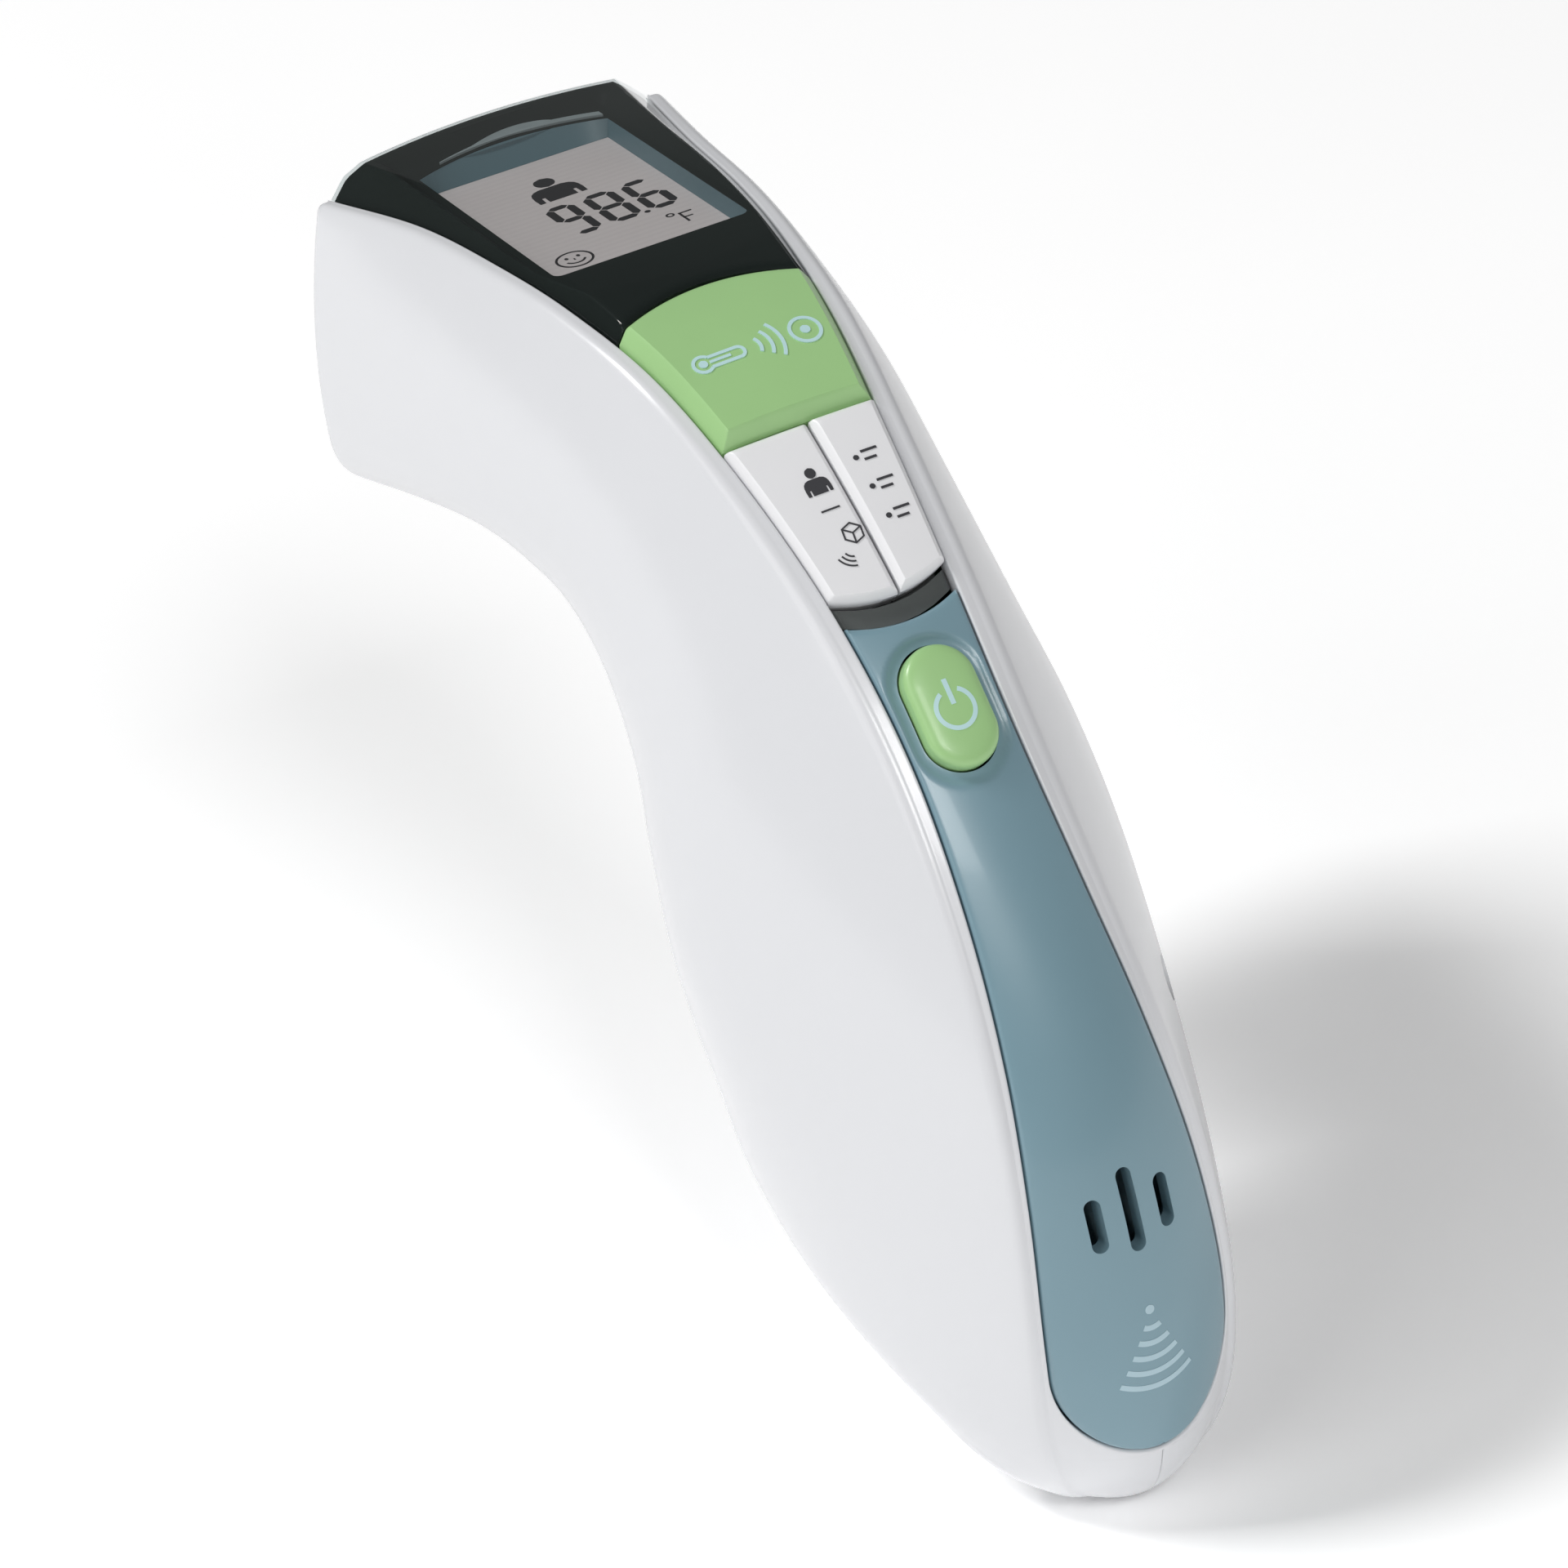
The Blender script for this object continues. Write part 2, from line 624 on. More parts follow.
def outer_row(pos, front_x, door_x, end_in):
    """half section of the outer skin, from front_x round to the door's edge; front_x is None
    past the opening, and end_in pulls the row inwards"""
    sec = section(pos)
    corner = min(0.7, 0.15 * sec.rim, 0.25 * sec.belly)
    corner_fraction = corner / sec.belly
    edge = min(0.1, 0.04 * sec.depth)
    flat_x = sec.rim - corner
    if front_x is None:
        xs = [min(0.02, flat_x * 0.02), min(0.12, flat_x * 0.1)]
        xs += [flat_x * k / 6 for k in range(1, 7)]
    else:
        xs = [front_x + (flat_x - front_x) * k / (N_FRONT - 1) for k in range(N_FRONT)]
    points = [(x, -rise(sec, x)) for x in xs]
    if front_x is None:
        points[0] = (xs[0], edge - rise(sec, xs[0]))

    start, control = np.array([flat_x, 0]), np.array([sec.rim - 0.1 * corner, 0])
    stop = np.array([sec.side_x(corner_fraction), corner])
    for k in range(1, N_CORNER + 1):
        u = k / N_CORNER
        points.append(tuple((1 - u) ** 2 * start + 2 * u * (1 - u) * control + u * u * stop))
    for k in range(1, N_SIDE + 1):
        fraction = corner_fraction + (1 - corner_fraction) * k / N_SIDE
        points.append((sec.side_x(fraction), fraction * sec.wide_at * sec.depth))
    end_angle = sec.back_angle(min(door_x + 0.35, sec.wide * 0.6))
    points += [sec.back_curve(end_angle * k / N_BACK) for k in range(1, N_BACK + 1)]

    near_x, last_x = door_x + 0.12, door_x
    if door_x == 0:
        near_x, last_x = min(0.12, sec.wide * 0.3), min(0.03, sec.wide * 0.1)
    points.append((near_x, sec.back_depth(near_x)))
    points.append((last_x, sec.back_depth(last_x) - edge))
    points = np.array(points)
    if end_in > 0:
        points = points + side_normals(np.gradient(points, axis=0)) * end_in
    return [place(sec, x, depth) for x, depth in points]


# points of the coarse half section, and its indices where front, corner and side end
COARSE_FRONT, COARSE_SIDE, COARSE_BACK = 5, 8, 11
COARSE_STOPS = [0, 4, 6, 13, 24]


def coarse_row(pos, door_x):
    """coarse half section, the base of the hidden inner wall"""
    sec = section(pos)
    open_x = opening(pos)
    corner = min(0.7, sec.rim * 0.15)
    rim_x = max(sec.rim - corner * 0.8, open_x * 0.999 + 0.05)
    points = []
    for k in range(COARSE_FRONT):
        x = open_x + (rim_x - open_x) * k / (COARSE_FRONT - 1)
        points.append(place(sec, x, -rise(sec, x)))
    points.append(place(sec, sec.rim - corner * 0.2, min(corner * 0.25, sec.depth * 0.05)))
    first = min(corner / sec.belly, 0.1)
    for k in range(COARSE_SIDE):
        fraction = first + (1 - first) * k / (COARSE_SIDE - 1)
        points.append(place(sec, sec.side_x(fraction), fraction * sec.wide_at * sec.depth))
    end_angle = sec.back_angle(door_x)
    for k in range(1, COARSE_BACK + 1):
        points.append(place(sec, *sec.back_curve(end_angle * k / COARSE_BACK)))
    return np.array(points)


def inner_row(pos, door_x):
    """the coarse section moved in by the wall, resampled to match outer_row"""
    base = pos if pos < 13 else 13 + (pos - 13) * 0.72
    row = coarse_row(base, door_x)
    before, after = coarse_row(max(base - 0.03, 0), door_x), coarse_row(base + 0.03, door_x)
    last = len(row) - 1
    moved = []
    for j, point in enumerate(row):
        across = row[min(j + 1, last)] - row[max(j - 1, 0)]
        normal = np.cross(across, after[j] - before[j])
        middle = abs(point[0]) < 0.001
        if j < COARSE_FRONT or (middle and pos != 0):
            normal[0] = 0
        elif pos == 0:  # keeps the wall's end in its plane
            normal = np.array([0 if middle else normal[0], 0, normal[2]])
        moved.append(point + WALL * (normal / max(np.linalg.norm(normal), 1e-9)))
    total = N_FRONT + N_CORNER + N_SIDE + N_BACK + 2
    stops = [0, N_FRONT - 1, N_FRONT + N_CORNER - 1, N_FRONT + N_CORNER + N_SIDE - 1, total - 1]
    result = []
    for k in np.interp(np.arange(total), stops, COARSE_STOPS):
        i, f = int(k), k - int(k)
        result.append(moved[i] * (1 - f) + moved[min(i + 1, last)] * f)
    return result


def shell_positions():
    """positions of the shell's rows, close together at its ends and the door's edges"""
    rows = [0.0, 0.012, 0.035, 0.07]
    rows += [round(k * 0.075, 4) for k in range(2, int(OPENING_ROUND / 0.075) + 1)]
    rows += [DOOR_START + d for d in (-0.05, -0.012, -0.001, 0.001, 0.012, 0.04)]
    rows += [DOOR_END + d for d in (-0.04, -0.012, -0.001, 0.001, 0.012, 0.05)]
    rows += [OPENING_ROUND + (LIP_END - OPENING_ROUND) * math.sin(math.radians(k * 3))
             for k in range(1, 31)]
    rows += [LIP_END + 0.015, LIP_END + 0.05] + [12.8 + 0.07 * k for k in range(28)]
    rows += [14.75, 14.82, 14.88, 14.93, 14.97]
    rows = sorted(set(rows))
    return [pos for i, pos in enumerate(rows)
            if i == 0 or pos - rows[i - 1] > 0.0009 or pos == LIP_END]


def lip_row(base, at_end):
    """points of the rounded lip, from the outer skin into the opening"""
    points = []
    for degrees in (22.5, 45, 67.5, 90):
        turn = math.radians(degrees)
        arc, x = outline_at(base, LIP * (1 - math.sin(turn)))
        x = 0.0 if at_end else max(x, 0)
        sec = section(pos_of(arc))
        points.append(place(sec, x, LIP * (1 - math.cos(turn)) - rise(sec, x)))
    return points


def shell_half():
    """the +X half: outer skin, lip and inner wall as one solid"""
    outer, inner, lips = [], [], []
    for pos in shell_positions():
        door_x = door_half(pos)
        front_x, lip = None, []
        if pos <= LIP_END + 1e-9:
            base = float(np.interp(pos, LIP_POS, EDGE_POS))
            at_end = pos >= LIP_END - 1e-9
            front_x = 0.0 if at_end else max(outline_at(base, LIP)[1], 0.0)
            lip = lip_row(base, at_end)
        end_in = {0.0: 0.3, 0.012: 0.1, 0.035: 0.02}.get(round(pos, 4), 0.0)
        lips.append(lip)
        outer.append(outer_row(pos, front_x, door_x, end_in))
        inner.append(inner_row(pos, door_x))

    rows, width = len(outer), len(outer[0])
    low = rows * width
    verts = [p for row in outer + inner for p in row]
    faces = grid_faces(rows, width) + grid_faces(rows, width, low, True)
    # front edge of each row: outer skin, lip, inner wall
    fronts = []
    for i, lip in enumerate(lips):
        lip_ids = list(range(len(verts), len(verts) + len(lip)))
        fronts.append([i * width] + lip_ids + [low + i * width])
        verts += lip
    for i in range(rows - 1):
        a, b = fronts[i], fronts[i + 1]
        if len(a) == len(b):
            faces += [[a[k], b[k], b[k + 1], a[k + 1]] for k in range(len(a) - 1)]
        else:
            faces.append(a + b[::-1])
        c, d = (i + 1) * width - 1, (i + 2) * width - 1
        faces.append([c, low + c, low + d, d])
    faces += [[j, low + j, low + j + 1, j + 1] for j in range(width - 1)]
    faces.append(fronts[0])

    # foot: fans to one outer and one inner point on x = 0
    end = inner[-1]
    verts.append(place(Section(*STATIONS[-1]), 0, 0))
    verts.append(np.array([0, (end[0][1] + end[-1][1]) / 2, (end[0][2] + end[-1][2]) / 2 - 0.4]))
    tip, inner_tip = len(verts) - 2, len(verts) - 1
    a, b = low - width, low - 1
    faces += [[j, j + 1, tip] for j in range(a, b)]
    faces += [[low + j + 1, low + j, inner_tip] for j in range(a, b)]
    faces += [[a, tip, inner_tip, low + a], [b, low + b, inner_tip, tip]]
    return verts, faces


def build_shells():
    verts, faces = shell_half()
    right = add_object("right_shell_skin", make_mesh("right_shell_skin", (verts, faces), 40),
                       "white_shell")
    cut(right, [cutter_object(f"cut{i}", tube(BORE_STEP_X, 30, y, z, radius=2.15, steps=40))
                for i, (y, z, _) in enumerate(POSTS)], 40)
    register(right, "body", "right_shell")

    mirrored = [np.array([-x, y, z]) for x, y, z in verts]
    left_posts = [tube(-reach, -0.1, y, z, radius=2.6, steps=32) for y, z, reach in POSTS]
    piece("left_shell_skin", join([(mirrored, faces)] + left_posts), "white_shell",
          "body", 40, "left_shell")

    narrow = [tube(0.1, BORE_STEP_X, y, z, radius=3.1, steps=32, bore=1.2) for y, z, _ in POSTS]
    wide = [tube(BORE_STEP_X, reach, y, z, radius=3.1, steps=32, bore=2.1)
            for y, z, reach in POSTS]
    piece("right_shell_posts", join(narrow + wide), "white_shell", "body", 40)


# ---------------------------------------------------------------------------
# battery door
# ---------------------------------------------------------------------------
def back_point(pos, x, out):
    """point on the back skin, moved out from it"""
    sec = section(pos)
    return place(sec, x, sec.back_depth(x) + out)


def edge_drop(index, count):
    """drop of the two outermost lines, which rounds the door's edge"""
    return {0: 0.1, 1: 0.02}.get(min(index, count - 1 - index), 0)


def door_plate():
    low = DOOR_START + DOOR_GAP * DOOR_POS_PER_MM
    high = DOOR_END - DOOR_GAP * DOOR_POS_PER_MM
    middle = list(np.linspace(low + 0.05, high - 0.05, 64))
    positions = [low, low + 0.009, low + 0.02] + middle + [high - 0.02, high - 0.009, high]
    outer, inner = [], []
    for i, pos in enumerate(positions):
        half = door_half(pos, DOOR_GAP)
        xs = [-half, -half + 0.1, *np.linspace(-half + 0.3, half - 0.3, 33), half - 0.1, half]
        outer_points, inner_points = [], []
        for k, x in enumerate(xs):
            drop = max(edge_drop(i, len(positions)), edge_drop(k, len(xs)))
            skin = back_point(pos, x, 0)
            across = back_point(pos, x + 0.2, 0) - back_point(pos, x - 0.2, 0)
            along = back_point(pos + 0.03, x, 0) - back_point(pos - 0.03, x, 0)
            normal = np.cross(across, along)
            normal /= np.linalg.norm(normal)
            if normal @ (back_point(pos, x, 1) - skin) < 0:
                normal = -normal
            outer_points.append(back_point(pos, x, -drop))
            inner_points.append(skin - normal * (WALL - 0.1))
        outer.append(outer_points)
        inner.append(inner_points)
    return sheet_solid(outer, inner)


def rib(pos, half, width=0.45, height=0.35, sunk=0.15):
    """low rounded bar across the door, width and height in mm"""
    steps, arch = 24, 9
    verts = []
    for i in range(steps + 1):
        x = -half + 2 * half * i / steps
        fade = math.sqrt(max(1 - (abs(x) / half) ** 6, 0))
        for j in range(arch):
            a = math.pi * j / (arch - 1)
            spread = width * math.cos(a) * (0.35 + 0.65 * fade) / 11.5  # mm to stations
            out = (height + sunk) * math.sin(a) * max(fade, 0.05) - sunk
            verts.append(back_point(pos + spread, x, out))
    faces = []
    for i in range(0, steps * arch, arch):
        for j in range(arch):
            q = (j + 1) % arch
            faces.append([i + j, i + q, i + arch + q, i + arch + j])
    faces += [list(range(arch))[::-1], [steps * arch + j for j in range(arch)]]
    return verts, faces


def build_door():
    ribs = [rib(11.3 + 0.13 * k, half=6.5 - 0.5 * abs(k - 2)) for k in range(5)]
    piece("battery_door_skin", join([door_plate()] + ribs), "white_shell",
          "door", 40, "battery_door")


# ---------------------------------------------------------------------------
# front panel
# ---------------------------------------------------------------------------
# length and width of the power key, its hole and the dish pressed in round it
POWER_KEY = (11.4, 6.8)
POWER_HOLE = (11.8, 7.2)
POWER_DISH = (11.7, 7.1)
POWER_ORIGIN, POWER_UP, _ = strip_frame(POWER_POS)
DISH_DEPTH = 0.42

PANEL_EDGE = 0.3       # radius of the rounded edge
PANEL_THICK = 2.0
PANEL_SPANS = 26       # across the crowned middle
PANEL_END_DROPS = {0: 0.25, 1: 0.02}  # by row, rounds the upper end

# cutter name, length, x and y offset of each obround slot
SLOTS = [("c_s0", 8, 0.0, 0.25), ("c_s1", 5.1, -3.4, -0.25), ("c_s2", 5.1, 3.4, -0.25)]
SLOT_WIDTH = 1.5


def dish(point):
    """depth of the dish round the power key"""
    offset = point - POWER_ORIGIN
    outside = obround_distance(offset[0], offset @ POWER_UP, *POWER_DISH)
    if outside > 2.0:
        return 0.0
    u = min(max((outside - 0.55) / 0.75, 0), 1)
    return DISH_DEPTH * (1 - u * u * (3 - 2 * u))


def panel_shape():
    first = PANEL_START + 0.02
    bases = [first, *np.linspace(first + 0.03, POWER_POS + 1.0, 62)]
    bases += list(np.linspace(POWER_POS + 1.05, OPENING_ROUND, 110))
    bases += [OPENING_ROUND + (OPENING_END - OPENING_ROUND) * math.sin(math.radians(k))
              for k in np.linspace(3, 89.2, 34)]

    def edge_at(i, degrees):
        """position and x on the rounded edge of row i, 90 degrees outermost"""
        inset = GAP + PANEL_EDGE * (1 - math.sin(math.radians(degrees)))
        arc, x = outline_at(bases[i], -inset)
        return (first if i == 0 else pos_of(arc)), max(x, 0.0)

    top, under = [], []
    for i in range(len(bases)):
        left, right = [], []
        for degrees in (90, 60, 30):
            pos, x = edge_at(i, degrees)
            sec = bowed(pos, x)
            depth = PANEL_EDGE * (1 - math.cos(math.radians(degrees))) - rise(sec, x)
            left.append(place(sec, -x, depth))
            right.append(place(sec, x, depth))
        pos, half = edge_at(i, 0)
        middle = []
        for k in range(PANEL_SPANS + 1):
            x = half * (2 * k / PANEL_SPANS - 1)
            sec = bowed(pos, x)
            height = rise(section(pos), x) - PANEL_END_DROPS.get(i, 0)
            middle.append(place(sec, x, dish(place(sec, x, 0)) - height))
        pos, x = edge_at(i, 90)
        sec = bowed(pos, x)
        low = PANEL_THICK - rise(sec, x)
        row = [place(sec, -x, low)] + left + middle + right[::-1] + [place(sec, x, low)]
        top.append(row)
        under_xs = [-x + 2 * x * k / (len(row) - 1) for k in range(len(row))]
        under.append([place(bowed(pos, x), x, PANEL_THICK - rise(sec, x)) for x in under_xs])
    return sheet_solid(top, under, sides=False)


def strip_cutter(name, pos, outline):
    return prism(name, outline, lambda x, y, height: on_strip(pos, x, y, height), -6, 6)


def build_panel():
    mesh = make_mesh("front_panel_skin", panel_shape(), 50, merge=2e-6)
    panel = add_object("front_panel_skin", mesh, "teal_panel")
    cutters = [strip_cutter("c_power", POWER_POS, obround(*POWER_HOLE, steps=40))]
    for name, length, dx, dy in SLOTS:
        outline = [(x + dx, y + dy) for x, y in obround(length, SLOT_WIDTH, steps=16)]
        cutters.append(strip_cutter(name, SLOTS_POS, outline))
    cut(panel, cutters, 50)
    register(panel, "body", "front_panel")


# ---------------------------------------------------------------------------
# keys and lens: slabs on the strip with bevelled sides
# ---------------------------------------------------------------------------
def soft_max(a, b, blend):
    near = max(blend - abs(a - b), 0) / blend
    return max(a, b) + near * near * blend * 0.25


def count(length, step, least):
    return max(int(round(length / step)), least)


def three_spans(low, high, first, last, counts):
    """low..high in three evenly divided spans; first and last are the outer ones' widths"""
    stops = [low, low + first, high - last, high]
    spans = [np.linspace(a, b, n + 1) for a, b, n in zip(stops, stops[1:], counts)]
    return np.concatenate([spans[0], spans[1][1:], spans[2][1:]])


def slab(start, end, left, right, top, crown, edge, drop, first_end, last_end, thick, step,
         middle_step, bow, blend=0.12, limit=None, inset=0.0):
    """Slab between two positions, with left and right as fractions of the opening.

    top, edge (bevel width), drop (bevel depth) and bow (push of the middle along the strip)
    hold a value for each end. first_end and last_end are (width, drop) of the end bevels.
    limit(x, y) caps z, and inset shrinks the slab all round.
    """
    arc0, arc1 = arc_of(start) + inset, arc_of(end) - inset
    total = arc1 - arc0
    width0, width1 = first_end[0], last_end[0]
    along_counts = (count(width0, step, 2), count(total - width0 - width1, middle_step, 2),
                    count(width1, step, 2))
    across_counts = None
    rows, under = [], []
    for along in three_spans(0, total, width0, width1, along_counts):
        f = along / total

        def mixed(ends):
            return ends[0] + (ends[1] - ends[0]) * f

        half = opening(pos_of(arc0 + along)) - GAP - inset
        low = left * half + (GAP / 2 if left > -1 else 0)
        high = right * half - (GAP / 2 if right < 1 else 0)
        bevel = min(mixed(edge), (high - low) * 0.3)
        if across_counts is None:
            sides = count(max(edge), step, 3)
            across_counts = (sides, count(high - low - 2 * bevel, middle_step, 3), sides)
        end_fall0 = first_end[1] * max(1 - along / width0, 0)
        end_fall1 = last_end[1] * max(1 - (total - along) / width1, 0)
        row, under_row = [], []
        for x in three_spans(low, high, bevel, bevel, across_counts):
            push = (bow[0] * (1 - f) + bow[1] * f) * (1 - (x / half) ** 2)
            sec = section(pos_of(arc0 + along + push))
            from_side = min(x - low, high - x)
            side_fall = mixed(drop) * max(1 - from_side / bevel, 0)
            fall = soft_max(soft_max(side_fall, end_fall0, blend), end_fall1, blend)
            # small extra drop right at the rim
            fall += 0.10 * max(1 - min(from_side, along, total - along) / 0.12, 0)
            point = place(sec, x, fall + inset - crowned(sec, x, mixed(top), crown))
            if limit:
                point[2] = min(point[2], limit(point[0], point[1]))
            row.append(point)
            under_row.append(place(sec, x, thick))
        rows.append(row)
        under.append(under_row)
    return sheet_solid(rows, under)


MEASURE_TOP, MODE_TOP, MEMORY_TOP = (1.6, 1.5), (0.7, 0.7), (1.0, 1.0)
MEASURE_CROWN, WHITE_CROWN = 0.3, 0.2
WHITE_SPLIT = 0.1      # x between the two white keys, as a fraction of the half opening
WHITE_SHAPE = dict(
    start=MEASURE_END + 0.005, end=WHITE_KEYS_END - 0.01, crown=WHITE_CROWN, edge=(0.6, 0.6),
    drop=(0.6, 0.6), first_end=(0.5, 0.3), last_end=(0.7, 0.9), thick=2.4, step=0.12,
    middle_step=0.5, bow=(0.0, 1.3))
LENS_SHAPE = dict(
    start=0.0, end=LENS_END, left=-1, right=1, top=(2.9, 1.4), crown=0.7, edge=(3.1, 0.9),
    drop=(2.9, 1.4), first_end=(1.6, 1.4), last_end=(0.5, 0.3), middle_step=0.7, blend=0.2,
    bow=(-1.9, -2.3))

# display window: half width and y at its upper corners, height of the arch between them
WINDOW_HALF, WINDOW_Y, WINDOW_ARCH = 10.05, -8.2, 2.5
MASK_Z = 18.15         # flat part of the mask
FRAME_TOP_Z, FRAME_LOW_Z = 18.08, 16.37
LCD_Z = 16.35
# opening of the mask's underside that takes the frame
POCKET = [(-10.4, -38.8), (10.4, -38.8), (10.4, -6.2), (-10.4, -6.2)]
POCKET_Z = 18.05


def build_keys():
    measure = slab(
        start=LENS_END + 0.02, end=MEASURE_END - 0.015, left=-1, right=1, top=MEASURE_TOP,
        crown=MEASURE_CROWN, edge=(1.1, 1.1), drop=(1.5, 1.5), first_end=(0.4, 0.3),
        last_end=(1.15, 1.5), thick=2.4, step=0.14, middle_step=0.5, bow=(-2.3, 0.0))
    piece("measure_key_skin", measure, "green_key", "measure_button", 28,
          "measure_key")
    for name, left, right, top in (("mode", -1, WHITE_SPLIT, MODE_TOP),
                                   ("memory", WHITE_SPLIT, 1, MEMORY_TOP)):
        piece(f"{name}_key_skin", slab(left=left, right=right, top=top, **WHITE_SHAPE),
              "white_key", f"{name}_button", 28, f"{name}_key")


def mask_top(x, y):
    """the mask is flat round the window and climbs to the lens surface outside it"""
    return MASK_Z + 3.2 * min(max((y + 5.0) / 3.4, (abs(x) - 10.9) / 3.4, 0), 1)


def window_outline(top_half, low_half, low_y, corner_y, arch, radius, steps=20):
    """anticlockwise outline with rounded low corners, arched at the head end"""
    points = []
    for x, start in ((-low_half + radius, 180), (low_half - radius, 270)):
        for k in range(7):
            a = math.radians(start + 15 * k)
            points.append((x + radius * math.cos(a), low_y + radius + radius * math.sin(a)))
    for k in range(steps + 1):
        x = top_half * (1 - 2 * k / steps)
        points.append((x, corner_y + arch * (1 - (x / top_half) ** 2)))
    return points


WINDOW = window_outline(WINDOW_HALF, low_half=10.0, low_y=-38.6, corner_y=WINDOW_Y,
                        arch=WINDOW_ARCH, radius=0.9)


def build_lens():
    """clear body, and inside it a dark mask with the display window"""
    piece("display_lens_skin", slab(thick=1.6, step=0.16, **LENS_SHAPE), "smoked_lens",
          "body", 24, "display_lens")
    shape = slab(thick=1.5, step=0.3, limit=mask_top, inset=0.2, **LENS_SHAPE)
    mask = add_object("lens_mask", make_mesh("lens_mask", shape, 40), "black_mask")
    cut(mask, [prism("c_win", WINDOW, flat, 5.0, 30.0),
               prism("c_pocket", POCKET, flat, 5.0, POCKET_Z)], 40)
    register(mask, "body")


def build_lens_frame():
    """sloped walls from the display glass up to the window"""
    glass = window_outline(9.6, 9.6, low_y=-37.1, corner_y=-8.6, arch=0.05, radius=0.3)
    outside = window_outline(10.35, 10.35, low_y=-38.75, corner_y=-6.3, arch=0.05, radius=0.1)
    verts = [flat(x, y, z) for outline, z in (
        (WINDOW, FRAME_TOP_Z), (glass, FRAME_LOW_Z), (outside, FRAME_TOP_Z),
        (outside, FRAME_LOW_Z)) for x, y in outline]
    n = len(WINDOW)
    faces = []
    for k in range(n):
        q = (k + 1) % n
        faces += [[k, q, n + q, n + k], [2 * n + k, 2 * n + q, q, k],
                  [3 * n + k, 3 * n + q, 2 * n + q, 2 * n + k],
                  [n + k, n + q, 3 * n + q, 3 * n + k]]
    piece("lens_frame_skin", (verts, faces), "teal_frame", "body", 30,
          "lens_frame")


# ---------------------------------------------------------------------------
# power key
# ---------------------------------------------------------------------------
# distance in from the outline, height over the strip
POWER_EDGE = [
    (0, 0.95), (0.06, 1.22), (0.2, 1.45), (0.42, 1.62), (0.7, 1.74), (1.1, 1.83), (1.7, 1.89),
    (2.2, 1.92), (2.8, 1.93)]
POWER_TOP = 1.935
POWER_FOOT = -2.2


def build_power_key():
    n = 40
    profile = [(0, POWER_FOOT)] + POWER_EDGE + [(3.36, POWER_TOP)]
    verts = [on_strip(POWER_POS, x, y, height) for inset, height in profile
             for x, y in obround(*POWER_KEY, steps=n, grow=-inset)]
    ring = 2 * n
    faces = [[i * ring + j, i * ring + (j + 1) % ring, (i + 1) * ring + (j + 1) % ring,
              (i + 1) * ring + j] for i in range(len(profile) - 1) for j in range(ring)]
    faces.append(list(range(ring))[::-1])
    top = (len(profile) - 1) * ring
    faces += [[top + j, top + j + 1, top + ring - 2 - j, top + ring - 1 - j]
              for j in range(n - 1)]
    piece("power_key_skin", (verts, faces), "green_key", "power_button", 40,
          "power_key")


